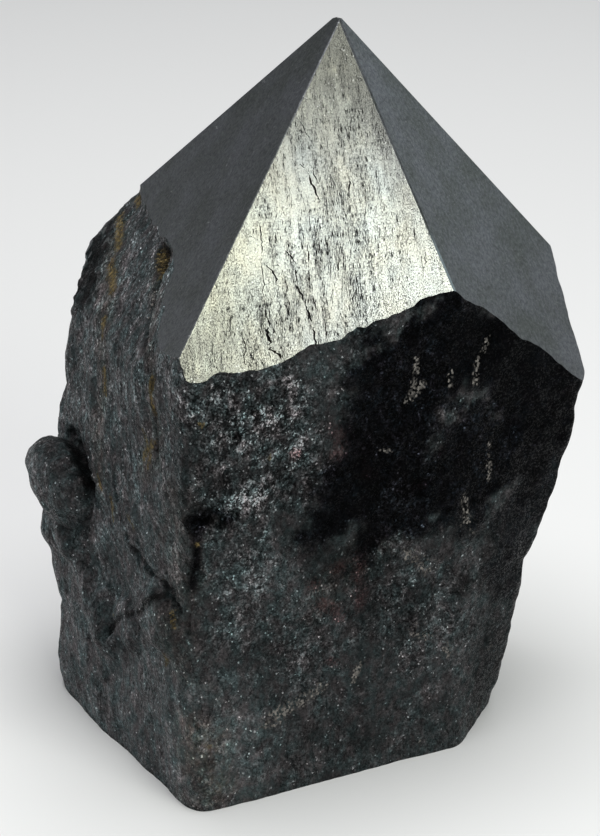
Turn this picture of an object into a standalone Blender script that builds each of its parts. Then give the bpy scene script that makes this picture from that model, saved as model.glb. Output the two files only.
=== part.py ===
"""Hematite point: one stone with rough natural walls, a sawn flat base and a ground pyramid tip.

Every length is written in millimetres and scaled to metres when the mesh is made. Azimuths are in
degrees from the front (-Y) towards the right (+X).
"""

import math

import bmesh
import bpy
from mathutils import Matrix, Vector, noise

MM = 0.001

# Driving dimensions, in millimetres
HEIGHT = 100.0
TIP_WEAR = 0.1  # how much of the sharp tip is worn off
ROUGH_TOP = 78.0  # the rough walls end below this height
PAST_TIP = 5.0  # how far the uncut block reaches above the tip
LEVEL_STEP = 2.1
COLUMN_STEP = 2.3
CORNER_PASSES = 3

# The ground facets, which meet TIP_WEAR above the top: azimuth and slope in degrees, and how far the
# plane stands out past that meeting point
FACETS = {
    "left": (-75.0, 54.0, 0.0),
    "front": (12.8, 60.4, 0.0),
    "right": (64.7, 57.9, 0.0),
    "back_right": (140.0, 53.0, 0.5),
    "back_left": (-155.0, 47.0, 1.4),
    "worn_tip": (0.0, 0.0, -TIP_WEAR),
}

# The upright edges of the rough block, anticlockwise seen from above: how much the edge is rounded,
# from 0 to 1, and its (height, x, y) from base to shoulder
EDGES = {
    "front_left": (0.7, [(0, -18.4, -24.3), (25, -19.2, -24.8), (62, -18.9, -27.1), (78, -18.9, -27.5)]),
    "front_ridge": (0.3, [(0, 16.9, -7.4), (30, 15.9, -10.0), (70, 14.2, -14.5), (78, 14.0, -15.2)]),
    "front_right": (0.1, [
        (0, 21.9, 4.6), (14, 23.8, 1.0), (25, 25.3, -0.2), (29, 27.3, -0.9), (38, 29.8, -1.5),
        (53, 32.0, -2.2), (78, 32.0, -2.2),
    ]),
    "right_back": (0.8, [(0, 17.0, 25.0), (25, 21.0, 25.5), (50, 24.4, 25.0), (78, 24.4, 25.0)]),
    "back": (1.0, [(0, -7.0, 30.5), (30, -4.5, 32.0), (60, -3.0, 33.0), (78, -3.0, 33.0)]),
    "back_left": (1.0, [(0, -29.5, 26.0), (30, -29.5, 28.0), (60, -28.5, 31.0), (78, -27.0, 30.0)]),
    "left": (0.5, [
        (0, -38.8, 9.5), (8, -39.2, 10.0), (13, -38.9, 10.5), (18, -39.8, 11.0), (24, -40.4, 11.5),
        (29, -39.8, 12.0), (37, -38.9, 14.0), (50, -37.6, 15.0), (57, -36.6, 16.0), (62.5, -34.6, 20.0),
        (66, -31.2, 20.3), (70, -27.4, 20.3), (78, -26.8, 20.3),
    ]),
    "left_middle": (1.0, [
        (0, -31.2, -4.9), (37, -29.9, -5.0), (58, -28.0, -5.0), (65, -24.4, -5.0), (70, -20.8, -5.0),
        (78, -20.4, -5.0),
    ]),
}

# Relief of the rough walls: (wavelength across, wavelength along the height, depth)
RELIEF = [(17.0, 34.0, 1.1), (7.5, 13.0, 0.7), (4.6, 6.0, 0.35)]
RELIEF_SEED = Vector((3.7, 11.3, 5.9))
FOOT_HEIGHT = 4.0  # the relief grows to its full depth over this height
FOOT_SHARE = 0.35  # and has this share of it at the sawn base

# Low swellings of the left wall, steep on top and fading downwards: centre, half length along the wall,
# half height and how far they stand out
SWELLINGS = {
    "boss": ((-40.0, 9.5, 25.0), 6.0, 5.0, 1.2),
    "knob": ((-22.5, -18.5, 25.5), 5.4, 5.0, 1.9),
    "knob_beside": ((-28.2, -9.6, 19.8), 4.4, 4.2, 1.5),
}

# The lump grown on the left wall, a slab whose top stands clear of the wall: centre, radii (out of the
# wall, along it, up), azimuth of the wall, and how far its top leans out, in degrees
LUMP_CENTRE = (-36.8, 7.2, 32.9)
LUMP_RADII = (4.6, 8.6, 6.6)
LUMP_AZIMUTH = -64.0
LUMP_LEAN = 20.0
LUMP_SUBDIVISIONS = 4
LUMP_RELIEF = 1.3
LUMP_WAVELENGTH = 5.5

SMOOTH_ANGLE = 35.0
CUT_TOLERANCE = 1e-4

STONE_COLOUR = (0.055, 0.058, 0.062, 1.0)
STONE_ROUGHNESS = 0.45
STONE_METALLIC = 0.6


def clear_scene():
    for obj in list(bpy.data.objects):
        bpy.data.objects.remove(obj, do_unlink=True)


def along_edge(points, height):
    """The plan position of an upright edge at a height."""
    for (z0, x0, y0), (z1, x1, y1) in zip(points, points[1:]):
        if height <= z1:
            share = (height - z0) / (z1 - z0)
            return Vector((x0 + share * (x1 - x0), y0 + share * (y1 - y0)))
    return Vector(points[-1][1:])


def wall_columns():
    """How many columns each wall takes, from its length at mid height."""
    corners = [along_edge(points, 0.5 * ROUGH_TOP) for _, points in EDGES.values()]
    following = corners[1:] + corners[:1]
    return [max(2, round((b - a).length / COLUMN_STEP)) for a, b in zip(corners, following)]


def outline(height, columns):
    """The block's outline at a height, as plan points with its corners rounded by their softness."""
    corners = [(along_edge(points, height), soft) for soft, points in EDGES.values()]
    ring = []
    softness = []
    for (a, soft_a), (b, soft_b), count in zip(corners, corners[1:] + corners[:1], columns):
        for i in range(count):
            share = i / count
            ring.append(a.lerp(b, share))
            softness.append(0.5 * (soft_a + share * (soft_b - soft_a)))
    for _ in range(CORNER_PASSES):
        middles = [0.5 * (ring[i - 1] + ring[(i + 1) % len(ring)]) for i in range(len(ring))]
        ring = [here.lerp(middle, soft) for here, middle, soft in zip(ring, middles, softness)]
    return ring


def relief(point):
    """How far the rough wall stands out at a point."""
    depth = 0.0
    for across, along, size in RELIEF:
        at = Vector((point.x / across, point.y / across, point.z / along)) + RELIEF_SEED
        depth += size * noise.noise(at)
    return depth


def swelling(point):
    """How far the wall's low swellings stand out at a point."""
    height = 0.0
    for centre, half_length, half_height, stand_out in SWELLINGS.values():
        off = point - Vector(centre)
        reach = math.hypot(off.x, off.y) / half_length
        rise = off.z / half_height
        inside = 1.0 - reach * reach - rise * rise
        if inside > 0.0:
            height += stand_out * inside ** (0.5 + max(0.0, -rise))
    return height


def roughened(ring, height):
    """Moves an outline's points in or out along the outline's own normals."""
    fade = min(1.0, FOOT_SHARE + (1.0 - FOOT_SHARE) * height / FOOT_HEIGHT)
    moved = []
    for i, here in enumerate(ring):
        along = ring[(i + 1) % len(ring)] - ring[i - 1]
        outward = Vector((along.y, -along.x)).normalized()
        at = Vector((here.x, here.y, height))
        place = here + outward * (fade * relief(at) + swelling(at))
        moved.append(Vector((place.x, place.y, height)))
    return moved


def block_mesh():
    """The rough block, as rings joined from the base to above the tip."""
    columns = wall_columns()
    count = round(ROUGH_TOP / LEVEL_STEP)
    heights = [ROUGH_TOP * i / count for i in range(count + 1)]
    rings = [roughened(outline(height, columns), height) for height in heights]
    above = Vector((0.0, 0.0, HEIGHT + PAST_TIP - ROUGH_TOP))
    rings.append([point + above for point in rings[-1]])

    mesh = bmesh.new()
    loops = [[mesh.verts.new(point) for point in ring] for ring in rings]
    for lower, upper in zip(loops, loops[1:]):
        for i in range(len(lower)):
            after = (i + 1) % len(lower)
            mesh.faces.new((lower[i], lower[after], upper[after], upper[i]))
    mesh.faces.new(list(reversed(loops[0])))
    mesh.faces.new(loops[-1])
    return mesh


def lump_mesh():
    """The rough rounded lump that stands out of the left wall."""
    mesh = bmesh.new()
    bmesh.ops.create_icosphere(mesh, subdivisions=LUMP_SUBDIVISIONS, radius=1.0)
    turn = Matrix.Rotation(math.radians(LUMP_AZIMUTH - 90.0), 3, "Z") @ Matrix.Rotation(
        math.radians(LUMP_LEAN), 3, "Y"
    )
    for vert in mesh.verts:
        outward = vert.co.normalized()
        sized = Vector(c * r for c, r in zip(outward, LUMP_RADII))
        place = turn @ sized + Vector(LUMP_CENTRE)
        place += LUMP_RELIEF * noise.noise(place / LUMP_WAVELENGTH) * (turn @ outward)
        vert.co = place
    return mesh


def facet_plane(azimuth, slope, stand_off):
    """A point on a facet's plane and its outward normal."""
    azimuth = math.radians(azimuth)
    slope = math.radians(slope)
    normal = Vector((
        math.sin(azimuth) * math.sin(slope),
        -math.cos(azimuth) * math.sin(slope),
        math.cos(slope),
    ))
    return Vector((0.0, 0.0, HEIGHT + TIP_WEAR)) + stand_off * normal, normal


def cut(mesh, point, normal):
    """Cuts away what lies past a plane and closes the cut with one flat face."""
    whole = mesh.verts[:] + mesh.edges[:] + mesh.faces[:]
    result = bmesh.ops.bisect_plane(
        mesh, geom=whole, dist=CUT_TOLERANCE, plane_co=point, plane_no=normal, clear_outer=True
    )
    rim = [item for item in result["geom_cut"] if isinstance(item, bmesh.types.BMEdge)]
    bmesh.ops.edgenet_fill(mesh, edges=rim)


def add_object(name, mesh):
    """Puts a bmesh into the scene as an object and frees it."""
    data = bpy.data.meshes.new(name)
    bmesh.ops.recalc_face_normals(mesh, faces=mesh.faces)
    mesh.to_mesh(data)
    mesh.free()
    obj = bpy.data.objects.new(name, data)
    bpy.context.scene.collection.objects.link(obj)
    return obj


def join(body, other):
    """Joins a lump to the body with a Boolean union, and removes the lump."""
    union = body.modifiers.new("join", "BOOLEAN")
    union.operation = "UNION"
    union.solver = "EXACT"
    union.object = other
    graph = bpy.context.evaluated_depsgraph_get()
    joined = bpy.data.meshes.new_from_object(body.evaluated_get(graph))
    body.modifiers.clear()
    body.data = joined
    bpy.data.objects.remove(other, do_unlink=True)


def stone_material():
    material = bpy.data.materials.new("hematite")
    material.use_nodes = True
    shader = material.node_tree.nodes["Principled BSDF"]
    shader.inputs["Base Color"].default_value = STONE_COLOUR
    shader.inputs["Roughness"].default_value = STONE_ROUGHNESS
    shader.inputs["Metallic"].default_value = STONE_METALLIC
    return material


def stand_on_origin(mesh):
    """Scales the mesh to metres and puts the origin under the middle of its box, at the base."""
    xs = [vert.co.x for vert in mesh.verts]
    ys = [vert.co.y for vert in mesh.verts]
    middle = Vector((0.5 * (min(xs) + max(xs)), 0.5 * (min(ys) + max(ys)), 0.0))
    for vert in mesh.verts:
        vert.co = MM * (vert.co - middle)


def build_stone():
    body = add_object("hematite_stone", block_mesh())
    join(body, add_object("lump", lump_mesh()))

    mesh = bmesh.new()
    mesh.from_mesh(body.data)
    for azimuth, slope, stand_off in FACETS.values():
        cut(mesh, *facet_plane(azimuth, slope, stand_off))
    stand_on_origin(mesh)
    bmesh.ops.recalc_face_normals(mesh, faces=mesh.faces)
    mesh.to_mesh(body.data)
    mesh.free()
    body.data.shade_smooth()
    body.data.set_sharp_from_angle(angle=math.radians(SMOOTH_ANGLE))
    body.data.materials.clear()
    body.data.materials.append(stone_material())


clear_scene()
build_stone()
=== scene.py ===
"""The looks of the hematite point: the stone's fine surface, its finish, the light and the camera.

The stone is drawn in millimetres, as its solid is, with the ground facets meeting over x = y = 0, and
moved to the frame's metres at the end. Azimuths are in degrees from the front (-Y) towards the right
(+X).
"""

import math

import bmesh
import bpy
import numpy as np
from mathutils import Matrix, Vector, noise


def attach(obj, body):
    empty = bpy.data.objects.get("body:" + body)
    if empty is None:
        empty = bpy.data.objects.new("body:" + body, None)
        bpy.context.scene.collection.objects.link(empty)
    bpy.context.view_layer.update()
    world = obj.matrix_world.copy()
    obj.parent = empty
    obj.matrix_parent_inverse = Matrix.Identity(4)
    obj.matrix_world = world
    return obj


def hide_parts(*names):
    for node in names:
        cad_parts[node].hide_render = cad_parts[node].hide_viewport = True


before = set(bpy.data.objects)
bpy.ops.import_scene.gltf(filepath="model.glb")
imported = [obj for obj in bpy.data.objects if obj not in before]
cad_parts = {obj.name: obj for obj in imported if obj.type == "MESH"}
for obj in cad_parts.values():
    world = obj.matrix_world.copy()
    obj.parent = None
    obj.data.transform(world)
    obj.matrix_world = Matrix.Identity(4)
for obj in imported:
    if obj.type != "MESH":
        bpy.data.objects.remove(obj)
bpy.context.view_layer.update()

MM = 0.001
ORIGIN = (-5.22, 3.59)  # where the frame's origin is in the drawing

# The solid's own dimensions, in millimetres
HEIGHT = 100.0
TIP_WEAR = 0.1  # how much of the point in which the facets meet is worn off
ROUGH_TOP = 78.0  # above it the block goes straight up, until the facets cut it
PAST_TIP = 5.0  # how far the uncut block stands above the tip
LEVEL_STEP = 2.1
COLUMN_STEP = 2.3
CORNER_PASSES = 3  # how often an edge is rounded

# The ground facets: azimuth, slope and how far the plane stands out past their meeting point
FACETS = {
    "left": (-75.0, 54.0, 0.0),
    "front": (12.8, 60.4, 0.0),
    "right": (64.7, 57.9, 0.0),
    "back_right": (140.0, 53.0, 0.5),
    "back_left": (-155.0, 47.0, 1.4),
}

# The upright edges of the rough block, anticlockwise from above: how much the edge is rounded, and its
# (height, x, y) from base to shoulder
EDGES = {
    "front_left": (0.7, [(0, -18.4, -24.3), (25, -19.2, -24.8), (62, -18.9, -27.1), (78, -18.9, -27.5)]),
    "front_ridge": (0.3, [(0, 16.9, -7.4), (30, 15.9, -10.0), (70, 14.2, -14.5), (78, 14.0, -15.2)]),
    "front_right": (0.1, [
        (0, 21.9, 4.6), (14, 23.8, 1.0), (25, 25.3, -0.2), (29, 27.3, -0.9), (38, 29.8, -1.5),
        (53, 32.0, -2.2), (78, 32.0, -2.2),
    ]),
    "right_back": (0.8, [(0, 17.0, 25.0), (25, 21.0, 25.5), (50, 24.4, 25.0), (78, 24.4, 25.0)]),
    "back": (1.0, [(0, -7.0, 30.5), (30, -4.5, 32.0), (60, -3.0, 33.0), (78, -3.0, 33.0)]),
    "back_left": (1.0, [(0, -29.5, 26.0), (30, -29.5, 28.0), (60, -28.5, 31.0), (78, -27.0, 30.0)]),
    "left": (0.5, [
        (0, -38.8, 9.5), (8, -39.2, 10.0), (13, -38.9, 10.5), (18, -39.8, 11.0), (24, -40.4, 11.5),
        (29, -39.8, 12.0), (37, -38.9, 14.0), (50, -37.6, 15.0), (57, -36.6, 16.0), (62.5, -34.6, 20.0),
        (66, -31.2, 20.3), (70, -27.4, 20.3), (78, -26.8, 20.3),
    ]),
    "left_middle": (1.0, [
        (0, -31.2, -4.9), (37, -29.9, -5.0), (58, -28.0, -5.0), (65, -24.4, -5.0), (70, -20.8, -5.0),
        (78, -20.4, -5.0),
    ]),
}

# Relief of the rough walls: (wavelength across, wavelength along the height, depth)
RELIEF = [(17.0, 34.0, 1.1), (7.5, 13.0, 0.7), (4.6, 6.0, 0.35)]
RELIEF_SEED = Vector((3.7, 11.3, 5.9))
FOOT_HEIGHT = 4.0  # below it the relief fades
FOOT_SHARE = 0.35  # how much of the relief is left at the base

# Low swellings of the left wall: centre, half length along the wall, half height, how far they stand out
SWELLINGS = {
    "boss": ((-40.0, 9.5, 25.0), 6.0, 5.0, 1.2),
    "knob": ((-22.5, -18.5, 25.5), 5.4, 5.0, 1.9),
    "knob_beside": ((-28.2, -9.6, 19.8), 4.4, 4.2, 1.5),
}

# The lump grown on the left wall: centre, radii (out of the wall, along it, up), azimuth, lean and relief
LUMP_CENTRE = (-36.8, 7.2, 32.9)
LUMP_RADII = (4.6, 8.6, 6.6)
LUMP_AZIMUTH = -64.0
LUMP_LEAN = 20.0
LUMP_RELIEF = 0.55
LUMP_WAVELENGTH = 6.5

# How finely the visual mesh is divided: parts of a column step on the walls that the photograph shows
# and on the others, parts of a level step, and the lump's subdivisions
SEEN_SPLITS = 7
UNSEEN_SPLITS = 5
LEVEL_SPLITS = 5
LUMP_SUBDIVISIONS = 6
UNSEEN_EDGES = ("front_right", "right_back", "back", "back_left")

# Relief too fine for the solid, as RELIEF
FINE_RELIEF = [(2.3, 3.2, 0.26), (1.15, 1.5, 0.17)]

# Where the left wall starts, as how far its outward direction points to the left, and where it is complete
LEFT_FROM = 0.55
LEFT_COMPLETE = 0.80

# Strands of the left wall, (wavelength across, along, depth), and how far back a strand lies and how much
# it stands out at a height
STRANDS = [(1.7, 9.0, 0.26), (0.85, 5.0, 0.15)]
STRAND_HEIGHTS = (0.0, 22.0, 30.0, 40.0, 50.0, 60.0, 66.0, 78.0)
STRAND_PLACES = (0.0, 2.0, 6.0, 18.0, 22.0, 24.0, 26.0, 30.0)
STRAND_SHARES = (0.6, 1.0, 1.0, 1.0, 1.0, 0.8, 0.3, 0.3)

# How much the width of a groove changes along it, and over what length
UNEVENNESS = 0.9
UNEVEN_WAVELENGTH = 1.3

# Low ridges of the walls: radius, height and the points that each runs through
RIDGES = {
    "lump_body": (5.5, 3.0, [(-37.6, 6.0, 29.5), (-36.0, 2.8, 26.5)]),
    "lump_tail": (4.5, 1.5, [(-35.5, 1.5, 24.5), (-33.2, -1.5, 20.5), (-31.2, -4.5, 16.0)]),
}

# Pits and grooves of the walls: radius, depth and the points that each runs through
HOLLOWS = {
    "shoulder_back": (5.5, 0.8, [(-34.2, 13.4, 59.6), (-32.6, 17.4, 62.9)]),
    "shoulder_top": (3.5, 0.45, [(-32.0, 19.8, 64.4), (-30.0, 20.5, 67.0)]),
    "lump_gap": (1.6, 1.1, [
        (-33.2, 0.4, 35.4), (-34.0, 1.8, 37.4), (-35.4, 5.9, 39.2), (-36.6, 9.2, 39.4),
    ]),
    "flow_groove": (0.75, 0.8, [
        (-29.5, -5.1, 40.3), (-28.8, -6.9, 37.4), (-28.2, -8.7, 33.9), (-27.0, -11.3, 33.0),
        (-24.9, -15.0, 32.1), (-22.7, -19.0, 32.1), (-21.1, -21.3, 31.6),
    ]),
    "upper_pit": (0.95, 1.0, [(-12.9, -23.8, 54.9), (-12.4, -23.7, 54.1)]),
    "slit": (0.6, 0.8, [(-13.8, -24.0, 50.4), (-14.1, -24.0, 48.0)]),
    "dark_band": (0.8, 0.9, [(-18.2, -24.6, 43.4), (-15.4, -24.0, 43.1), (-13.0, -23.6, 44.0)]),
    "dark_hole": (1.0, 1.0, [(-15.8, -24.1, 43.9), (-14.8, -23.9, 42.6)]),
    "corner_groove": (0.7, 0.7, [(-17.7, -24.3, 39.9), (-17.8, -23.9, 37.3), (-18.4, -23.7, 33.6)]),
    "shoulder_pit": (1.5, 1.3, [(-22.5, 0.2, 69.1), (-22.4, -3.6, 68.6)]),
    "shoulder_groove": (0.8, 0.7, [
        (-22.4, -4.0, 68.2), (-23.3, -5.8, 66.4), (-24.4, -9.0, 63.4), (-24.2, -13.5, 61.2),
        (-23.3, -17.4, 59.3), (-23.1, -17.9, 55.4), (-23.2, -17.5, 49.0),
    ]),
    "knob_arc": (0.8, 1.3, [
        (-26.1, -13.7, 22.1), (-25.4, -17.4, 26.5), (-24.4, -18.6, 28.9), (-23.0, -19.9, 30.3),
        (-21.4, -21.5, 30.6), (-20.3, -22.7, 29.5),
    ]),
    "beside_arc": (0.6, 0.8, [
        (-30.4, -5.3, 15.9), (-30.2, -5.8, 17.7), (-29.3, -7.8, 19.9), (-28.0, -10.3, 22.1),
        (-27.1, -11.6, 22.9),
    ]),
    "beside_split": (0.5, 0.7, [(-27.4, -10.9, 25.6), (-26.9, -11.6, 22.8)]),
    "knob_split": (0.5, 0.6, [(-21.1, -22.3, 29.4), (-21.1, -23.0, 26.4)]),
    "corner_slit": (0.45, 0.6, [(-18.9, -23.8, 29.6), (-18.9, -23.7, 27.2)]),
    "ochre_slit": (0.5, 0.7, [(-29.2, -5.6, 40.8), (-28.7, -7.3, 37.6), (-28.3, -8.2, 34.1)]),
}

# Coloured marks of the walls: radius and the points that each runs through, and how many radii out the
# marks of a kind reach
MARK_REACH = {"ochre": 1.6, "red": 2.6, "pale": 1.6}
MARKS = {
    "ochre": [
        (1.3, [(-29.6, 19.0, 67.6), (-29.2, 15.5, 66.4), (-29.0, 12.4, 65.4)]),
        (1.3, [(-30.2, 11.0, 64.0), (-29.4, 5.6, 61.9)]), (1.0, [(-26.9, 19.6, 69.7), (-26.4, 17.0, 69.4)]),
        (0.9, [(-30.5, 3.2, 58.6), (-30.5, 1.8, 56.8)]), (0.9, [(-30.4, 0.2, 52.8), (-30.4, -0.9, 50.0)]),
        (1.6, [(-22.7, 0.4, 69.2), (-22.4, -4.0, 68.4)]), (0.9, [(-23.3, -17.4, 59.6), (-23.1, -17.9, 54.0)]),
        (0.8, [(-23.1, -17.7, 51.4), (-24.8, -14.2, 47.0)]),
        (0.7, [(-31.9, -0.5, 37.9), (-31.3, -1.9, 36.6)]), (0.7, [(-30.1, -4.2, 36.7), (-29.4, -5.3, 33.9)]),
        (0.6, [(-27.1, -10.6, 36.8), (-26.3, -12.2, 36.0)]), (0.5, [(-22.3, -19.6, 32.1)]),
        (0.5, [(-29.8, -6.5, 19.9)]), (0.55, [(-21.1, -22.2, 29.2), (-20.9, -23.0, 27.5)]),
        (0.6, [(-22.0, -22.0, 23.3), (-22.3, -19.6, 20.1)]),
        (0.6, [(-24.8, -14.6, 51.1), (-23.8, -16.3, 48.4), (-24.2, -15.3, 46.2)]),
        (0.6, [(-17.7, -24.3, 40.0)]), (0.7, [(-16.8, -25.4, 56.9)]), (0.6, [(-8.7, -22.1, 51.0)]),
        (0.7, [(-21.7, -21.8, 22.5)]), (0.5, [(-16.6, -23.5, 10.0)]),
    ],
    "pale": [
        (0.5, [(-24.4, -15.2, 51.3), (-23.6, -16.8, 48.4)]),
        (0.7, [(9.5, -15.6, 61.4), (9.5, -15.6, 59.4), (8.8, -15.7, 56.0)]),
        (0.9, [(10.4, -15.1, 57.6), (8.6, -15.8, 55.6)]),
        (0.7, [(18.9, -10.7, 62.4), (18.2, -11.2, 60.9), (17.3, -11.6, 59.2), (17.0, -11.6, 56.0)]),
        (0.7, [(14.0, -13.3, 58.4), (13.9, -13.4, 57.0)]), (0.7, [(19.4, -9.2, 46.6), (19.7, -8.9, 41.4)]),
        (0.7, [(5.4, -16.4, 49.2), (6.6, -15.9, 49.0)]), (0.9, [(16.2, -11.3, 40.0), (16.8, -10.6, 36.0)]),
        (1.0, [(8.6, -14.0, 33.4), (11.8, -12.1, 29.2)]), (0.8, [(25.0, -0.8, 25.6)]),
        (1.6, [(-9.4, -19.9, 11.2), (-7.4, -19.2, 12.2), (-4.9, -17.9, 13.4), (-2.3, -16.8, 14.6)]),
        (0.8, [(2.2, -15.2, 15.0), (3.0, -14.8, 17.6)]), (0.6, [(7.9, -12.8, 20.1)]),
        (0.7, [(9.9, -11.9, 20.2), (12.3, -10.9, 19.0)]), (0.8, [(14.4, -10.2, 17.4), (15.1, -9.8, 15.6)]),
        (0.8, [(21.0, -2.2, 12.5)]), (0.8, [(19.6, -1.3, 1.8)]), (0.6, [(11.4, -10.0, 2.5)]),
        (0.6, [(-23.1, -4.8, 66.9), (-24.3, -8.6, 63.4), (-24.0, -13.4, 61.6)]),
        (0.45, [(-8.5, -20.6, 28.0)]),
    ],
    "red": [
        (1.4, [(0.1, -18.3, 52.6), (0.2, -18.2, 50.0)]), (0.8, [(-5.4, -20.4, 50.5)]),
        (1.3, [(3.5, -16.8, 46.6)]), (1.0, [(10.5, -14.1, 43.2)]), (0.9, [(13.1, -13.2, 47.4)]),
        (1.1, [(-0.2, -17.2, 33.0)]), (0.9, [(-3.1, -18.5, 31.2)]),
        (1.0, [(-2.1, -17.8, 28.2), (0.3, -16.5, 25.3)]), (1.0, [(3.0, -15.3, 26.4), (2.7, -16.1, 33.9)]),
        (0.9, [(-0.7, -16.5, 18.5)]), (1.3, [(30.2, -3.1, 51.1)]),
    ],
}

# Broad changes of the walls' look, partly their own tone and partly painted light and shade: each quality's
# base, then how much is added to it, within what radius and along which points
PATCH_BASES = {"painted_glitter": 0.10, "tone": 0.80, "warm": 0.0, "grains": 0.0}
PATCH_UNEVENNESS = 0.6  # how much a patch's radius changes round it, and by what noise
PATCH_WAVELENGTH = 5.0
PATCH_FRACTAL = (0.6, 2.0, 5)
DARKEST_TONE = 0.07  # where patches would make the stone darker
PATCHES = {
    # painted sparkle: where the grains' brightness spreads wider and more grains flash
    "painted_glitter": [
        (0.9, 9.0, [(-15.0, -24.5, 58.0), (-8.0, -22.0, 57.0), (-6.0, -20.5, 48.0), (-13.0, -23.5, 46.0)]),
        (0.35, 9.0, [(-12.0, -22.5, 36.0), (-10.0, -20.5, 30.0), (-4.0, -18.0, 20.0)]),
        (0.70, 12.0, [(9.0, -15.5, 62.0), (8.0, -15.5, 44.0), (20.0, -10.0, 46.0)]),
        (0.35, 12.0, [(6.0, -15.0, 32.0), (12.0, -12.0, 22.0)]),
    ],
    "tone": [
        (-0.02, 8.0, [(-15.0, -24.5, 58.0), (-8.0, -22.0, 57.0), (-7.0, -21.0, 46.0), (-13.0, -23.5, 36.0)]),
        (-0.06, 6.0, [(-19.5, -24.0, 56.0), (-19.5, -24.0, 47.0)]),
        (0.07, 8.0, [(-11.0, -21.0, 34.0), (-8.0, -20.0, 28.0)]),
        (0.10, 2.5, [(-0.5, -18.5, 37.8), (2.0, -17.0, 37.0)]),
        (-0.14, 8.0, [(-2.0, -18.0, 36.0), (4.0, -15.5, 28.0), (10.0, -13.0, 24.0)]),
        (0.21, 9.0, [(-14.0, -22.1, 11.6), (-13.0, -22.0, 3.0)]),
        (0.08, 7.0, [(-19.5, -22.5, 18.0), (-19.5, -22.5, 3.0)]),
        (0.04, 8.0, [(12.0, -11.0, 14.0), (19.0, -4.0, 16.0)]),
        # painted shade: the upper right of the front wall made much darker
        (-1.20, 11.0, [(8.8, -15.5, 61.0), (4.8, -16.5, 43.0), (16.0, -11.5, 43.5), (29.0, -3.0, 48.0)]),
        (-1.20, 10.0, [(12.5, -14.5, 63.0), (20.0, -10.0, 60.0), (29.0, -4.0, 54.0)]),
        (-0.30, 5.0, [(0.5, -18.0, 44.0), (-1.0, -18.2, 41.5)]),
        # painted shade: the right part of the front wall darker, less so low down
        (-0.50, 11.0, [(26.0, -2.0, 42.0), (23.0, -3.0, 28.0)]),
        (-0.25, 8.0, [(22.0, -2.0, 16.0), (20.0, -2.0, 6.0)]),
        (-0.05, 5.0, [(-8.0, -18.5, 3.0), (-4.0, -17.6, 6.0), (2.0, -14.5, 6.0)]),
        # painted shade: darker along the dark band's and the corner groove's hollows
        (-0.45, 1.9, [(-17.6, -24.5, 43.4), (-15.6, -24.0, 44.0), (-13.9, -23.6, 43.2)]),
        (-0.40, 1.2, [(-17.7, -24.3, 42.0), (-17.8, -23.9, 37.3), (-18.4, -23.7, 33.6)]),
    ],
    "grains": [
        (0.55, 4.5, [(9.0, -14.3, 34.0), (13.5, -12.0, 29.5)]),
        (0.55, 3.5, [(15.5, -11.5, 38.5), (17.5, -10.3, 34.5)]),
        (0.50, 4.0, [(10.5, -12.3, 21.5), (15.5, -10.0, 16.5)]),
        (0.35, 7.0, [(8.0, -15.5, 58.0), (10.0, -15.0, 52.0)]),
    ],
    "warm": [
        (0.7, 7.0, [(-18.6, -23.5, 12.0), (-16.0, -23.0, 3.0)]),
        (0.4, 6.0, [(3.0, -16.0, 48.0), (8.0, -14.5, 42.0), (-1.0, -17.5, 30.0)]),
        (0.4, 5.0, [(-20.5, -23.0, 46.0), (-21.0, -22.5, 22.0)]),
        (0.5, 4.0, [(-30.0, 16.0, 66.0), (-30.5, 4.0, 60.0), (-30.5, 0.0, 50.0), (-31.4, -1.3, 37.6)]),
        (0.5, 3.0, [(-22.6, -2.0, 68.8), (-23.3, -17.4, 59.6), (-23.1, -17.9, 50.0), (-24.8, -14.2, 45.0)]),
    ],
}

# Open cracks of the front facet: width, depth and the (across, up) points of the facet
CRACKS = [
    (0.34, 0.30, [(-6.2, 68.4), (-5.9, 67.2), (-5.5, 66.1), (-4.8, 64.2)]),
    (0.22, 0.20, [(-5.5, 68.6), (-4.9, 66.6)]),
    (0.26, 0.22, [(-1.0, 67.3), (-1.4, 64.8)]),
    (0.20, 0.20, [
        (-12.8, 62.4), (-12.8, 59.7), (-13.1, 57.9), (-13.1, 55.1), (-13.4, 54.2), (-13.2, 52.8),
        (-13.3, 50.8),
    ]),
    (0.26, 0.22, [(-12.6, 57.5), (-11.6, 56.2), (-11.4, 55.3)]),
    (0.24, 0.24, [(-10.0, 59.1), (-9.0, 57.5), (-9.0, 55.1)]),
    (0.34, 0.30, [(-9.0, 54.7), (-8.3, 52.2), (-7.7, 49.7), (-7.5, 47.6), (-7.4, 46.4)]),
    (0.20, 0.20, [(-7.2, 59.5), (-7.4, 55.8), (-7.4, 54.6), (-7.1, 52.1), (-6.1, 49.9), (-6.1, 47.5)]),
    (0.55, 0.45, [(-13.3, 49.9), (-13.2, 47.7), (-12.1, 46.0)]),
    (0.26, 0.22, [(-16.5, 49.6), (-16.2, 48.0), (-16.6, 45.3)]),
    (0.20, 0.18, [(6.4, 60.6), (6.3, 58.8)]),
    (0.16, 0.16, [(7.4, 57.7), (7.3, 55.6)]),
    (0.20, 0.18, [(-17.6, 51.8), (-17.9, 49.7)]),
    (0.20, 0.16, [(4.3, 62.3), (4.3, 61.4)]),
    (0.16, 0.16, [(-6.4, 74.9), (-5.4, 72.1)]),
    (0.18, 0.16, [(-6.9, 69.5), (-6.6, 68.9)]),
    (0.16, 0.16, [(-4.9, 60.5), (-4.5, 58.0), (-4.7, 55.6)]),
    (0.12, 0.10, [(-15.5, 62.1), (-13.3, 60.6)]),
]
CRACK_STEP = 0.3
CRACK_PIECES = (7, 18)  # from and below how many steps long a crack's pieces are
CRACK_GAPS = (0, 2)  # from and below how many steps they lie apart
CRACK_SHARES = (0.55, 1.2)  # how narrow and wide a crack gets along its course, as a share of its width
CRACK_WANDER = 0.28  # how far a crack's points stray, as a share of its width
CRACK_CLEAR = 0.05  # how far the cutting wedge stands out of the facet
CRACK_SEED = 5

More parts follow.
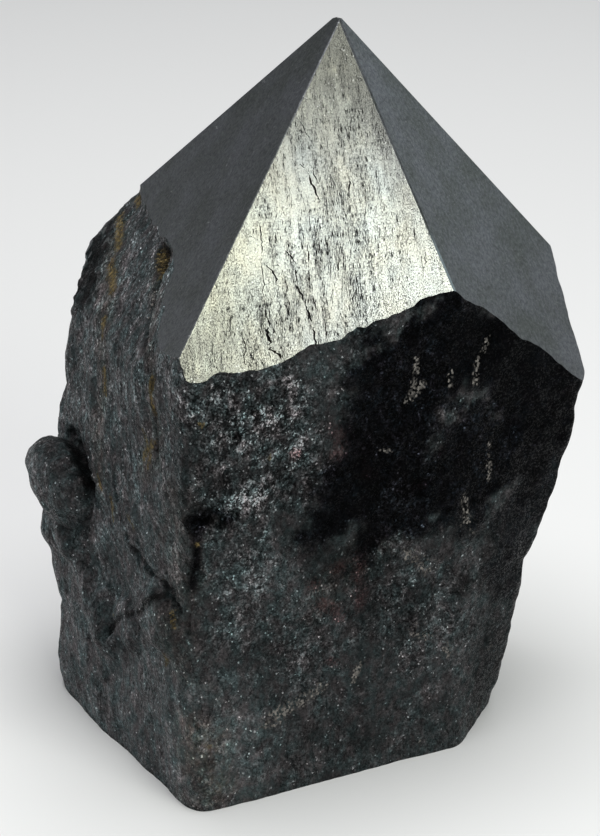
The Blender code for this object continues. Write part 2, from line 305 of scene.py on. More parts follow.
# Short open pits strewn between the cracks: how many places are tried, where across and up the facet, how
# far apart they stay, and their size and how far they lean to the left per length
PIT_TRIES = 700
PIT_PLACES = ((-20.0, 10.0), (46.0, 84.0))
PIT_SPACING = 0.8
PIT_LENGTHS = (0.6, 2.0)
PIT_WIDTHS = (0.07, 0.14)
PIT_LEAN = 0.08

# The front facet, across and up: its top, how fast its left and right edges part below that, and its lower
# edge, which rises to the right from a bend on
FACET_TOP = 86.0
FACET_LEFT = 0.47
FACET_RIGHT = 0.27
FACET_FLOOR = 48.5
FLOOR_BEND = -9.0
FLOOR_RISE = 0.6

FRONT_FACET = 1  # its place in FACETS
# the lower part of this ridge gets a painted highlight
HIGHLIGHTED_RIDGE = -2  # the ridge on its right: ridges are numbered down from -1
FACET_SPACING = 100.0  # keeps one facet's or ridge's pattern off another's
RIDGE_WEAR = 0.07  # how much of a ridge between two ground facets is worn off
CUT_TOLERANCE = 1e-4
SAME_PLANE = 0.9999  # the cosine within which two normals are one plane's

# Brightness of the rough stone at the ends of its tone, and at most
DARKEST = 0.0015
LIGHTEST = 0.12
BRIGHTEST = 0.7

# Sizes of the walls' grains, of their white grains and of the facets' light specks
SMALL_GRAIN = (0.20, 0.20, 0.22)
LARGE_GRAIN = (0.40, 0.40, 0.48)
WHITE_GRAIN = (0.27, 0.27, 0.33)
SPECK = (0.16, 0.16, 0.16)

# What changes the logarithm of the walls' brightness, and by how much
GRAIN_CONTRAST = 1.2
LARGE_GRAIN_CONTRAST = 0.9
# painted shade: the fine relief lighter where it stands out and darker where it sinks
RELIEF_PAINTED_SHADE = 6.5
CLUMP_CONTRAST = 4.0
VEIN_DARKNESS = 1.1
# painted glints: a few random grains made much brighter
PAINTED_GLINT = 1.8
VEIN_WIDTH = 0.022  # in the winding noise that places the veins
# painted shade: the hollows are darkened by their depth
HOLLOW_PAINTED_SHADE = 0.5  # how much a hollow's depth in millimetres takes off the tone

# What the walls' grey is multiplied by, and what stains them
GREENISH = (0.76, 1.0, 1.04, 1.0)
REDDISH = (1.08, 1.0, 1.04, 1.0)
BLUISH = (0.96, 1.0, 1.26, 1.0)
WARM_TINT = (1.22, 1.0, 0.80, 1.0)
RED_TINT = (1.7, 0.80, 0.80, 1.0)
DARK_GOLD = (0.045, 0.035, 0.018, 1.0)
LIGHT_GOLD = (0.26, 0.195, 0.085, 1.0)
DARK_WHITE = (0.0416, 0.04, 0.0384, 1.0)
LIGHT_WHITE = (0.324, 0.30, 0.276, 1.0)
CRACK_RUST = (0.035, 0.024, 0.012, 1.0)

# The ground facets' metal, painted brighter on the front, where it stands in for the light it reflects, and
# grey elsewhere
YELLOW_SILVER = (0.485, 0.475, 0.425, 1.0)
BLUE_SILVER = (0.460, 0.485, 0.480, 1.0)
YELLOW_TINT = (1.0, 0.99, 0.88, 1.0)
# painted shade: the metal that the front facet's highlight falls off to
PAINTED_DIM_METAL = (0.18, 0.18, 0.18, 1.0)
# painted highlight: a bluish-white line on the lower part of the front facet's right ridge
RIDGE_PAINTED_HIGHLIGHT = (0.80, 0.95, 1.0, 1.0)
DARK_METAL = (0.205, 0.214, 0.226, 1.0)
LIGHT_METAL = (0.405, 0.421, 0.433, 1.0)
DARK_SMUDGE = (0.80, 0.82, 0.76, 1.0)
LIGHT_SMUDGE = (1.10, 1.09, 1.12, 1.0)
INSIDE_PITS = (0.02, 0.02, 0.02, 1.0)
LIGHT_SPECK = (0.75, 0.75, 0.75, 1.0)

# Material slots of the stone
ROUGH, GROUND, SAWN, CRACKED = range(4)

FLOOR_REACH = 2.0  # in metres from the middle

# Lights: what each shines on, its azimuth, elevation, distance, width and height, watts and tint
LIGHTS = {
    "key": ((2.0, -19.0, 78.0), 34.0, 30.0, 550.0, (340.0, 180.0), 1.15, (0.96, 1.0, 0.91)),
    "top": ((0.0, 0.0, 50.0), 0.0, 88.0, 700.0, (600.0, 600.0), 6.0, (1.0, 1.0, 1.0)),
    "side": ((18.0, -8.0, 78.0), 121.0, 16.0, 700.0, (420.0, 260.0), 0.105, (0.86, 0.97, 1.0)),
}

# The camera, whose target and distance are in millimetres of the frame
CAMERA_TARGET = (0.32, -12.19, 50.0)
CAMERA_DISTANCE = 330.0
CAMERA_ELEVATION = 25.0
FOCAL_PIXELS = 2575.0
PICTURE_HEIGHT = 836
SENSOR = 36.0


def along_edge(points, height):
    """The plan position of an upright edge at a height."""
    for (z0, x0, y0), (z1, x1, y1) in zip(points, points[1:]):
        if height <= z1:
            share = (height - z0) / (z1 - z0)
            return Vector((x0 + share * (x1 - x0), y0 + share * (y1 - y0)))
    return Vector(points[-1][1:])


def wall_columns():
    """How many columns the solid has on each wall."""
    corners = [along_edge(points, 0.5 * ROUGH_TOP) for _, points in EDGES.values()]
    following = corners[1:] + corners[:1]
    return [max(2, round((b - a).length / COLUMN_STEP)) for a, b in zip(corners, following)]


def outline(height, columns):
    """The block's outline at a height, as plan points with its corners rounded by their softness."""
    corners = [(along_edge(points, height), soft) for soft, points in EDGES.values()]
    ring = []
    softness = []
    for (a, soft_a), (b, soft_b), count in zip(corners, corners[1:] + corners[:1], columns):
        for i in range(count):
            share = i / count
            ring.append(a.lerp(b, share))
            softness.append(0.5 * (soft_a + share * (soft_b - soft_a)))
    for _ in range(CORNER_PASSES):
        middles = [0.5 * (ring[i - 1] + ring[(i + 1) % len(ring)]) for i in range(len(ring))]
        ring = [here.lerp(middle, soft) for here, middle, soft in zip(ring, middles, softness)]
    return ring


def fine_columns(columns):
    """Where the fine columns stand, counted in the solid's columns."""
    places = []
    start = 0
    for name, count in zip(EDGES, columns):
        splits = UNSEEN_SPLITS if name in UNSEEN_EDGES else SEEN_SPLITS
        places.extend(start + i / splits for i in range(count * splits))
        start += count
    return np.array(places)


def through(ring, places):
    """A smooth curve through a ring's points, read at places counted in points."""
    ring = np.array(ring)
    start = np.floor(places).astype(int)
    t = (places - start)[:, None]
    before, here, after, beyond = (ring[(start + i) % len(ring)] for i in (-1, 0, 1, 2))
    return 0.5 * (
        2.0 * here
        + (after - before) * t
        + (2.0 * before - 5.0 * here + 4.0 * after - beyond) * t**2
        + (3.0 * here - before - 3.0 * after + beyond) * t**3
    )


def relief(point, octaves):
    """How far the rough wall stands out at a point."""
    depth = 0.0
    for across, along, size in octaves:
        at = Vector((point[0] / across, point[1] / across, point[2] / along)) + RELIEF_SEED
        depth += size * noise.noise(at)
    return depth


def strand(points):
    """Which of the left wall's strands each point is on, as how far back that strand starts."""
    return points[:, 1] - np.interp(points[:, 2], STRAND_HEIGHTS, STRAND_PLACES)


def strands(points):
    """How far the left wall's strands stand out at each point."""
    height = np.zeros(len(points))
    for across, along, depth in STRANDS:
        spots = np.column_stack([points[:, 0] / along, strand(points) / across, points[:, 2] / along])
        height += depth * np.array([noise.noise(Vector(spot) + RELIEF_SEED) for spot in spots])
    return height * np.interp(points[:, 2], STRAND_HEIGHTS, STRAND_SHARES)


def swelling(points):
    """How far the wall's low swellings stand out at each point: they fade more softly at their feet."""
    height = np.zeros(len(points))
    for centre, half_length, half_height, stand_out in SWELLINGS.values():
        off = points - np.array(centre)
        reach = np.hypot(off[:, 0], off[:, 1]) / half_length
        rise = off[:, 2] / half_height
        inside = np.clip(1.0 - reach**2 - rise**2, 0.0, None)
        height += stand_out * inside ** (0.5 + np.clip(-rise, 0.0, None))
    return height


def distance_to_path(points, path):
    """Each point's distance to a path of straight pieces, or to a single point."""
    path = np.array(path, float)
    if len(path) == 1:
        return np.linalg.norm(points - path[0], axis=1)
    nearest = np.full(len(points), np.inf)
    for start, end in zip(path, path[1:]):
        run = end - start
        share = np.clip((points - start) @ run / (run @ run), 0.0, 1.0)
        nearest = np.minimum(nearest, np.linalg.norm(points - start - share[:, None] * run, axis=1))
    return nearest


def fall_off(distance, radius):
    """1 at no distance, falling smoothly to 0 at the radius."""
    share = np.clip(1.0 - distance / radius, 0.0, 1.0)
    return share * share * (3.0 - 2.0 * share)


def along_paths(points, paths, unevenness=0.0):
    """How high the ridges or how deep the grooves along some paths are at each point."""
    height = np.zeros(len(points))
    uneven = 1.0 + unevenness * np.array([noise.noise(Vector(point) / UNEVEN_WAVELENGTH) for point in points])
    for radius, most, path in paths.values():
        height = np.maximum(height, most * fall_off(distance_to_path(points, path) / uneven, radius))
    return height


def on_left_wall(outward):
    """How much each outward plan direction belongs to the fibrous left wall, from 0 to 1."""
    return np.clip((-outward[:, 0] - LEFT_FROM) / (LEFT_COMPLETE - LEFT_FROM), 0.0, 1.0)


def roughened(ring, height):
    """A ring's points in space, moved in or out along the ring's own normals."""
    along = np.roll(ring, -1, axis=0) - np.roll(ring, 1, axis=0)
    outward = np.column_stack([along[:, 1], -along[:, 0]])
    outward /= np.linalg.norm(outward, axis=1, keepdims=True)
    points = np.column_stack([ring, np.full(len(ring), height)])
    fade = min(1.0, FOOT_SHARE + (1.0 - FOOT_SHARE) * height / FOOT_HEIGHT)
    stand_out = np.array([relief(point, RELIEF + FINE_RELIEF) for point in points])
    stand_out += on_left_wall(outward) * strands(points)
    stand_out = fade * stand_out + swelling(points)
    stand_out += along_paths(points, RIDGES) - along_paths(points, HOLLOWS, UNEVENNESS)
    points[:, :2] += outward * stand_out[:, None]
    return points


def add_object(name, data):
    """Adds an object to the scene."""
    obj = bpy.data.objects.new(name, data)
    bpy.context.scene.collection.objects.link(obj)
    return obj


def add_mesh(name, vertices, faces):
    """Adds a mesh to the scene."""
    data = bpy.data.meshes.new(name)
    data.from_pydata(vertices, [], faces)
    return add_object(name, data)


def block():
    """The rough block, as rings joined from the base to above the tip."""
    columns = wall_columns()
    places = fine_columns(columns)
    count = round(ROUGH_TOP / LEVEL_STEP) * LEVEL_SPLITS
    heights = [ROUGH_TOP * i / count for i in range(count + 1)]
    rings = [roughened(through(outline(height, columns), places), height) for height in heights]
    rings.append(rings[-1] + np.array((0.0, 0.0, HEIGHT + PAST_TIP - ROUGH_TOP)))
    around = len(places)
    faces = []
    for level in range(len(rings) - 1):
        for i in range(around):
            here = level * around + i
            after = level * around + (i + 1) % around
            faces.append((here, after, after + around, here + around))
    faces.append(tuple(reversed(range(around))))
    faces.append(tuple(range(around * (len(rings) - 1), around * len(rings))))
    return add_mesh("hematite", np.vstack(rings).tolist(), faces)


def lump():
    """The rough rounded lump that stands out of the left wall."""
    mesh = bmesh.new()
    bmesh.ops.create_icosphere(mesh, subdivisions=LUMP_SUBDIVISIONS, radius=1.0)
    turn = Matrix.Rotation(math.radians(LUMP_AZIMUTH - 90.0), 3, "Z")
    turn = turn @ Matrix.Rotation(math.radians(LUMP_LEAN), 3, "Y")
    for vert in mesh.verts:
        outward = vert.co.normalized()
        sized = Vector(c * r for c, r in zip(outward, LUMP_RADII))
        place = turn @ sized + Vector(LUMP_CENTRE)
        stand_out = LUMP_RELIEF * noise.noise(place / LUMP_WAVELENGTH) + relief(place, FINE_RELIEF)
        vert.co = place + stand_out * (turn @ outward)
    data = bpy.data.meshes.new("lump")
    mesh.to_mesh(data)
    mesh.free()
    return add_object("lump", data)


def combine(body, other, operation):
    """Joins another object to the body or cuts it out of the body, and removes it."""
    boolean = body.modifiers.new("combine", "BOOLEAN")
    boolean.operation = operation
    boolean.solver = "EXACT"
    boolean.object = other
    graph = bpy.context.evaluated_depsgraph_get()
    result = bpy.data.meshes.new_from_object(body.evaluated_get(graph))
    body.modifiers.clear()
    body.data = result
    bpy.data.objects.remove(other, do_unlink=True)


def stepped(path, step):
    """Points along a path, about one step apart."""
    line = []
    for start, end in zip(path, path[1:]):
        count = max(1, round(math.dist(start, end) / step))
        line.extend(Vector(start).lerp(Vector(end), i / count) for i in range(count))
    line.append(Vector(path[-1]))
    return line


def on_front_facet(x, y):
    """Whether a place across and up the front facet is well inside it."""
    below_top = FACET_TOP - y
    floor = FACET_FLOOR + FLOOR_RISE * max(0.0, x - FLOOR_BEND)
    return -FACET_LEFT * below_top < x < FACET_RIGHT * below_top and y > floor


def crack_lines(chance):
    """The cracks broken into pieces, and short pits strewn between them, as (width, depth, points)."""
    lines = []
    for width, depth, path in CRACKS:
        line = stepped(path, CRACK_STEP)
        start = 0
        while start < len(line) - 2:
            length = int(chance.integers(*CRACK_PIECES))
            lines.append((width, depth, line[start:start + length]))
            start += length + int(chance.integers(*CRACK_GAPS))
    taken = [point for _, _, line in lines for point in line]
    for _ in range(PIT_TRIES):
        x, y = (chance.uniform(*span) for span in PIT_PLACES)
        length = chance.uniform(*PIT_LENGTHS)
        width = chance.uniform(*PIT_WIDTHS)
        line = stepped([(x, y), (x - PIT_LEAN * length, y - length)], CRACK_STEP)
        near = min((point - other).length for point in line for other in taken)
        if near > PIT_SPACING and on_front_facet(x, y) and on_front_facet(*line[-1]):
            lines.append((width, width, line))
            taken.extend(line)
    return [line for line in lines if len(line[2]) > 1]


def cracks():
    """Wedges along the front facet's cracks and pits, to be cut out of it."""
    normal, far = facet_planes()[FRONT_FACET]
    across, up = facet_axes(normal)
    chance = np.random.default_rng(CRACK_SEED)
    vertices = []
    faces = []
    for width, depth, line in crack_lines(chance):
        first = len(vertices)
        for i, (x, y) in enumerate(line):
            open_share = math.sin(math.pi * (i + 0.3) / (len(line) - 0.4)) ** 0.5
            half = 0.5 * width * open_share * chance.uniform(*CRACK_SHARES)
            x += chance.normal(0.0, CRACK_WANDER * width)
            top = x * across + y * up + (far + CRACK_CLEAR) * normal
            deep = (depth * open_share + CRACK_CLEAR) * normal
            vertices.extend([top - half * across, top - deep, top + half * across])
        for row in range(first, len(vertices) - 3, 3):
            for i in range(3):
                here, beside = row + i, row + (i + 1) % 3
                faces.append((here, beside, beside + 3))
                faces.append((here, beside + 3, here + 3))
        faces.append((first, first + 2, first + 1))
        faces.append((len(vertices) - 3, len(vertices) - 2, len(vertices) - 1))
    obj = add_mesh("cracks", vertices, faces)
    obj.data.polygons.foreach_set("material_index", [CRACKED] * len(faces))
    return obj


def direction(azimuth, elevation):
    """A unit vector from its azimuth and its angle above the level, in degrees."""
    azimuth = math.radians(azimuth)
    elevation = math.radians(elevation)
    flat = math.cos(elevation)
    return Vector((flat * math.sin(azimuth), -flat * math.cos(azimuth), math.sin(elevation)))


def facet_planes():
    """Each ground facet's plane, as its outward normal and how far along it the plane lies."""
    meeting = Vector((0.0, 0.0, HEIGHT + TIP_WEAR))
    planes = []
    for azimuth, slope, stand_off in FACETS.values():
        normal = direction(azimuth, 90.0 - slope)
        planes.append((normal, normal.dot(meeting) + stand_off))
    return planes


def ridge_planes(planes):
    """The narrow planes that wear down the ridges between neighbouring facets."""
    worn = []
    for (one, far_one), (other, far_other) in zip(planes, planes[1:] + planes[:1]):
        both = one + other
        worn.append((both.normalized(), (far_one + far_other) / both.length - RIDGE_WEAR))
    return worn


def cut(mesh, normal, far, slot):
    """Cuts away what lies past a plane and closes the cut with one face in a material slot."""
    whole = mesh.verts[:] + mesh.edges[:] + mesh.faces[:]
    result = bmesh.ops.bisect_plane(
        mesh, geom=whole, dist=CUT_TOLERANCE, plane_co=far * normal, plane_no=normal, clear_outer=True
    )
    rim = [item for item in result["geom_cut"] if isinstance(item, bmesh.types.BMEdge)]
    filled = bmesh.ops.edgenet_fill(mesh, edges=rim)
    for face in filled["faces"]:
        face.material_index = slot
        face.normal_update()
    for edge in rim:
        edge.smooth = False


def facet_axes(normal):
    """A ground facet's level direction and its steepest one."""
    across = Vector((0.0, 0.0, 1.0)).cross(normal).normalized()
    return across, normal.cross(across)


def corners_in_plane(mesh, normal):
    """The corners of the ground faces that have a normal."""
    return [
        corner
        for face in mesh.faces
        if face.material_index == GROUND and face.normal.dot(normal) > SAME_PLANE
        for corner in face.loops
    ]


def dress_mesh(obj):
    """Cuts the joined block to its ground facets, and lays out the pattern of each facet and ridge."""
    mesh = bmesh.new()
    mesh.from_mesh(obj.data)
    for face in mesh.faces:
        face.smooth = True
        face.material_index = SAWN if face.normal.z < -0.99 and len(face.verts) > 4 else ROUGH
    planes = facet_planes()
    ridges = ridge_planes(planes)
    for normal, far in planes + ridges:
        cut(mesh, normal, far, GROUND)
    cut(mesh, Vector((0.0, 0.0, 1.0)), HEIGHT, GROUND)
    for face in mesh.faces:
        if face.material_index == SAWN:
            for edge in face.edges:
                edge.smooth = False
    lay = mesh.loops.layers.uv.new("facet")
    for number, (normal, _) in enumerate(planes):
        across, up = facet_axes(normal)
        for corner in corners_in_plane(mesh, normal):
            place = corner.vert.co
            corner[lay].uv = (place.dot(across) + number * FACET_SPACING, place.dot(up))
    for number, (normal, _) in enumerate(ridges, 1):
        for corner in corners_in_plane(mesh, normal):
            corner[lay].uv = (-number * FACET_SPACING, corner.vert.co.z)
    mesh.to_mesh(obj.data)
    mesh.free()


def mark_surface(data):
    """Writes the walls' marks and patches to the mesh, as one number per point and kind."""
    points = np.zeros(len(data.vertices) * 3)
    data.vertices.foreach_get("co", points)
    points = points.reshape(-1, 3)
    kinds = {}
    for kind, marks in MARKS.items():
        kinds[kind] = np.zeros(len(points))
        for radius, path in marks:
            strength = fall_off(distance_to_path(points, path), MARK_REACH[kind] * radius)
            kinds[kind] = np.maximum(kinds[kind], strength)
    ragged = np.array([noise.fractal(Vector(point) / PATCH_WAVELENGTH, *PATCH_FRACTAL) for point in points])
    ragged = 1.0 + PATCH_UNEVENNESS * np.clip(ragged, -1.0, 1.0)
    for kind, patches in PATCHES.items():
        kinds[kind] = np.full(len(points), PATCH_BASES[kind])
        for amount, radius, path in patches:
            kinds[kind] += amount * fall_off(distance_to_path(points, path) / ragged, radius)
    kinds["tone"] = np.maximum(kinds["tone"], DARKEST_TONE)
    # the hollows' depth, which the walls' colour turns into painted shade
    kinds["hollow"] = along_paths(points, HOLLOWS, UNEVENNESS)
    normals = np.zeros(len(data.vertices) * 3)
    data.vertices.foreach_get("normal", normals)
    kinds["left"] = on_left_wall(normals.reshape(-1, 3))
    kinds = {kind: np.clip(values, 0.0, 1.0) for kind, values in kinds.items()}
    kinds["strand"] = strand(points)
    for kind, values in kinds.items():
        layer = data.attributes.new(kind, "FLOAT", "POINT")
        layer.data.foreach_set("value", values)


def to_frame(data):
    """Moves a mesh drawn in millimetres to the frame's place and metres."""
    data.transform(Matrix.Scale(MM, 4) @ Matrix.Translation((-ORIGIN[0], -ORIGIN[1], 0.0)))


class Value:
    """A number, vector or colour from a material's nodes; arithmetic on it adds nodes."""

    def __init__(self, tree, socket):
        self.tree = tree
        self.socket = socket

    def step(self, operation, *others):
        """One step of arithmetic on numbers."""
        return node(self.tree, "Math", dict(enumerate((self, *others))), operation=operation)

    def __add__(self, other):
        return self.step("ADD", other)

    def __sub__(self, other):
        return self.step("SUBTRACT", other)

    def __mul__(self, other):
        return self.step("MULTIPLY", other)

    def ramp(self, low, high, to_low=0.0, to_high=1.0):
        """Maps a range to another, held at its ends."""
        inputs = {"Value": self, "From Min": low, "From Max": high, "To Min": to_low, "To Max": to_high}
        return node(self.tree, "MapRange", inputs)

    def vector_step(self, operation, *others):
        """One step of arithmetic on vectors or colours."""
        return node(self.tree, "VectorMath", dict(enumerate((self, *others))), operation=operation)

    def parts(self, kind):
        """The three numbers in a vector or colour."""
        made = add_node(self.tree, kind, {0: self})
        return [Value(self.tree, socket) for socket in made.outputs]


def fill(tree, made, inputs):
    """Sets a node's inputs."""
    for name, value in inputs.items():
        if isinstance(value, Value):
            tree.links.new(value.socket, made.inputs[name])
        else:
            made.inputs[name].default_value = value


def add_node(tree, kind, inputs, **properties):
    """Adds a shader node."""
    made = tree.nodes.new("ShaderNode" + kind)
    for name, value in properties.items():
        setattr(made, name, value)
    fill(tree, made, inputs)
    return made


def node(tree, kind, inputs, output=0, **properties):
    """Adds a shader node and gives what one of its outputs says."""
    return Value(tree, add_node(tree, kind, inputs, **properties).outputs[output])


def attribute(tree, name):
    """One of the numbers that mark_surface writes to the mesh."""
    return node(tree, "Attribute", {}, "Fac", attribute_name=name)


def mix(factor, a, b):
    """Mixes two numbers."""
    return node(factor.tree, "Mix", {0: factor, 2: a, 3: b})


def blend(factor, a, b, blend_type="MIX"):
    """Blends the second colour over the first one."""
    inputs = {0: factor, 6: a, 7: b}
    return node(factor.tree, "Mix", inputs, 2, data_type="RGBA", blend_type=blend_type)


def start_material(name):
    """A new material, its tree and its shader."""
    material = bpy.data.materials.new(name)
    material.use_nodes = True
    return material, material.node_tree, material.node_tree.nodes["Principled BSDF"]


def own_place(tree):
    """The stone's own coordinates in millimetres."""
    return node(tree, "TexCoord", {}, "Object").vector_step("MULTIPLY", (1.0 / MM,) * 3)


def stretched(place, sizes):
    """Coordinates in which features of the given sizes, in millimetres, measure 1."""
    return place.vector_step("MULTIPLY", tuple(1.0 / size for size in sizes))


def clouds(place, sizes, detail, roughness):
    """Noise with features of the given sizes in millimetres."""
    inputs = {"Vector": stretched(place, sizes), "Scale": 1.0, "Detail": detail, "Roughness": roughness}
    return node(place.tree, "TexNoise", inputs, "Fac")


def grains(place, sizes):
    """A random colour for each of the grains, which are cells of the given sizes in millimetres."""
    return node(place.tree, "TexVoronoi", {"Vector": stretched(place, sizes), "Scale": 1.0}, "Color")


def tilted(normal, cell):
    """The surface's normal, tilted another way in each grain."""
    return normal.vector_step("ADD", cell.vector_step("SUBTRACT", (0.5, 0.5, 0.5))).vector_step("NORMALIZE")


def bumped(height, distance, strength, inputs, **properties):
    """The surface's normal, turned by a relief that is a distance deep, in metres."""
    inputs = {"Height": height, "Distance": distance, "Strength": strength, **inputs}
    return node(height.tree, "Bump", inputs, "Normal", **properties)


def grey(level):
    """A grey of a brightness."""
    return (level, level, level, 1.0)


def wall_contrast(left, up, clumps, painted_glitter):
    """How unlike the walls' grains are: most along the left wall and in the patches of painted sparkle, where
    the grains' brightness is spread wider as painted light.
    """
    on_left = left * up.ramp(15.0, 55.0, 0.45, 0.8)
    contrast = painted_glitter.ramp(0.0, 1.0, 0.30, 1.35).step("MAXIMUM", on_left)
    return contrast * clumps.ramp(0.40, 0.58, 0.6, 1.15)


def wall_veins(place, laid, left, broad):
    """Where thin dark veins wind through the walls, from 0 to 1."""
    in_stone = clouds(place, (2.6, 2.6, 4.2), 5.0, 0.62)
    along_strands = clouds(laid, (1.1, 1.0, 7.0), 4.0, 0.6)
    off = (mix(left, in_stone, along_strands) - 0.5).step("ABSOLUTE")
    return off.ramp(0.0, VEIN_WIDTH, 1.0, 0.0) * broad.ramp(0.42, 0.56)


def wall_brightness(place, laid, left, up, height, by_grain):
    """How bright the rough stone is: the logarithm of its brightness is summed up."""
    # where sparkle is painted
    painted_glitter = attribute(place.tree, "painted_glitter")
    broad = clouds(place, (6.0, 6.0, 9.0), 3.0, 0.6)
    clumps = clouds(place, (3.2, 3.2, 3.6), 5.0, 0.7)
    by_large_grain = grains(place, LARGE_GRAIN).parts("SeparateColor")
    # the tone holds the patches' painted shade on the front wall's right and in two grooves
    level = attribute(place.tree, "tone") + broad.ramp(0.3, 0.7, -0.08, 0.08)
    level = level + left * up.ramp(15.0, 45.0, 0.17, 0.12)
    # painted shade: the hollows darker by their depth
    level = level - attribute(place.tree, "hollow") * HOLLOW_PAINTED_SHADE
    unlike = by_grain[1].ramp(0.0, 1.0, -GRAIN_CONTRAST, GRAIN_CONTRAST)
    unlike = unlike + by_large_grain[1].ramp(0.0, 1.0, -LARGE_GRAIN_CONTRAST, LARGE_GRAIN_CONTRAST)
    # painted shade: lighter where the fine relief stands out, darker where it sinks; the clumps vary the tone
    # at random
    unlike = unlike + ((height - 0.5) * RELIEF_PAINTED_SHADE + (clumps - 0.5) * CLUMP_CONTRAST)
    logarithm = level.ramp(0.0, 1.0, math.log(DARKEST), math.log(LIGHTEST))
    logarithm = logarithm + unlike * wall_contrast(left, up, clumps, painted_glitter)
    # painted glints: a few random grains flash bright, a little more often where sparkle is painted
    logarithm = logarithm + (by_grain[2] + painted_glitter * 0.02).ramp(0.985, 0.995, 0.0, PAINTED_GLINT)
    logarithm = logarithm - wall_veins(place, laid, left, broad) * VEIN_DARKNESS
    return logarithm.step("EXPONENT").step("MINIMUM", BRIGHTEST)


def wall_tint(place):
    """What the walls' grey is multiplied by: a little green or red by chance, and blue where it is dark."""
    hues = clouds(place, (1.8, 1.8, 2.6), 5.0, 0.65)
    by_chance = blend(hues.ramp(0.38, 0.62), GREENISH, REDDISH)
    in_the_dark = blend(attribute(place.tree, "tone").ramp(0.15, 0.6), BLUISH, grey(1.0))
    return by_chance.vector_step("MULTIPLY", in_the_dark)


def stained(place, laid, left, by_grain, base):
    """The walls' colour with rust, red iron oxide and white grains in small patches, and what they cover."""
    kinds = ("ochre", "red", "warm", "pale", "grains")
    ochre, red, warm, pale, strewn = (attribute(place.tree, kind) for kind in kinds)
    in_stone = clouds(place, (0.5, 0.5, 0.8), 4.0, 0.75)
    along_strands = clouds(laid, (0.35, 1.0, 1.8), 4.0, 0.75)
    broken = mix(left, in_stone, along_strands)
    speckled = broken + by_grain[2].ramp(0.0, 1.0, -0.22, 0.22)
    pick = grains(place, WHITE_GRAIN).parts("SeparateColor")
    ochre = (ochre + speckled).ramp(1.0, 1.5, 0.0, 0.9)
    red = (red + speckled).ramp(1.0, 1.8, 0.0, 0.75)
    pale = (pale.step("MAXIMUM", strewn) + pick[1]).ramp(1.36, 1.62, 0.0, 0.9)

    gold = blend(pick[0], DARK_GOLD, LIGHT_GOLD).vector_step("MULTIPLY", broken.ramp(0.35, 0.65, 0.3, 1.6))
    base = blend(warm * broken.ramp(0.35, 0.6), base, WARM_TINT, "MULTIPLY")
    base = blend(ochre, base, gold)
    base = blend(red, base, RED_TINT, "MULTIPLY")
    base = blend(pale, base, blend(pick[2], DARK_WHITE, LIGHT_WHITE))
    return base, ochre.step("MAXIMUM", red.step("MAXIMUM", pale))


def rough_material():
    """The natural walls: dark grains, some of which sparkle as metal, with veins, hollows and stains, and
    with painted glints, painted sparkle and painted shade in the hollows and the fine relief.
    """
    material, tree, shader = start_material("hematite_rough")
    place = own_place(tree)
    left = attribute(tree, "left")
    up = place.parts("SeparateXYZ")[2]
    laid = node(tree, "CombineXYZ", {0: attribute(tree, "strand"), 2: up})
    cell = grains(place, SMALL_GRAIN)
    by_grain = cell.parts("SeparateColor")

    # The relief too fine for the mesh, which follows the strands on the left wall
    coarse = clouds(place, (1.3, 1.3, 1.7), 6.0, 0.72)
    threads = clouds(laid, (0.5, 1.0, 3.5), 6.0, 0.72)
    height = mix(left * 0.6, coarse, threads)

    brightness = wall_brightness(place, laid, left, up, height, by_grain)
    bare = wall_tint(place).vector_step("MULTIPLY", brightness)
    base, cover = stained(place, laid, left, by_grain, bare)
    metallic = by_grain[0].ramp(0.55, 0.75, 0.0, 0.9) * cover.ramp(0.0, 1.0, 1.0, 0.0)
    normal = node(tree, "NewGeometry", {}, "Normal")
    turned = node(tree, "Mix", {0: metallic, 4: normal, 5: tilted(normal, cell)}, 1, data_type="VECTOR")
    fill(tree, shader, {
        "Base Color": base,
        "Metallic": metallic,
        "Roughness": metallic.ramp(0.0, 1.0, 0.55, 0.3),
        "Specular IOR Level": 0.02,
        "Normal": bumped(height, 0.0012, 0.9, {"Normal": turned}),
    })
    return material


def on_facet(along, number):
    """1 on the facet or ridge whose pattern has a number, and 0 elsewhere."""
    return along.step("COMPARE", number * FACET_SPACING, 0.5 * FACET_SPACING)


def facet_pits(flat, front, across, below_top):
    """How open the facets are: pits drawn out along the grain, crowded in bands, and finer ones all over."""
    bands = clouds(flat, (0.8, 7.0, 1.0), 3.0, 0.6)
    patches = clouds(flat, (5.0, 8.0, 1.0), 2.0, 0.5)
    crowd = bands.ramp(0.3, 0.7, -0.10, 0.07) + patches.ramp(0.3, 0.7, -0.04, 0.03)
    crowd = crowd + front.ramp(0.0, 1.0, -0.09, 0.0) + across.ramp(0.0, 6.0, 0.0, -0.07)
    crowd = crowd + below_top.ramp(4.0, 14.0, -0.02, 0.015)
    crowd = crowd + (across + below_top * FACET_LEFT).ramp(0.0, 4.0, -0.05, 0.0)
    dashes = clouds(flat, (0.09, 1.0, 1.0), 2.0, 0.65)
    dust = clouds(flat, (0.09, 0.22, 1.0), 2.0, 0.6)
    pitted = (dashes + crowd).ramp(0.56, 0.62)
    dusty = (dust + crowd * 0.35).ramp(0.50, 0.68)
    return pitted.step("MAXIMUM", dusty * 0.36)


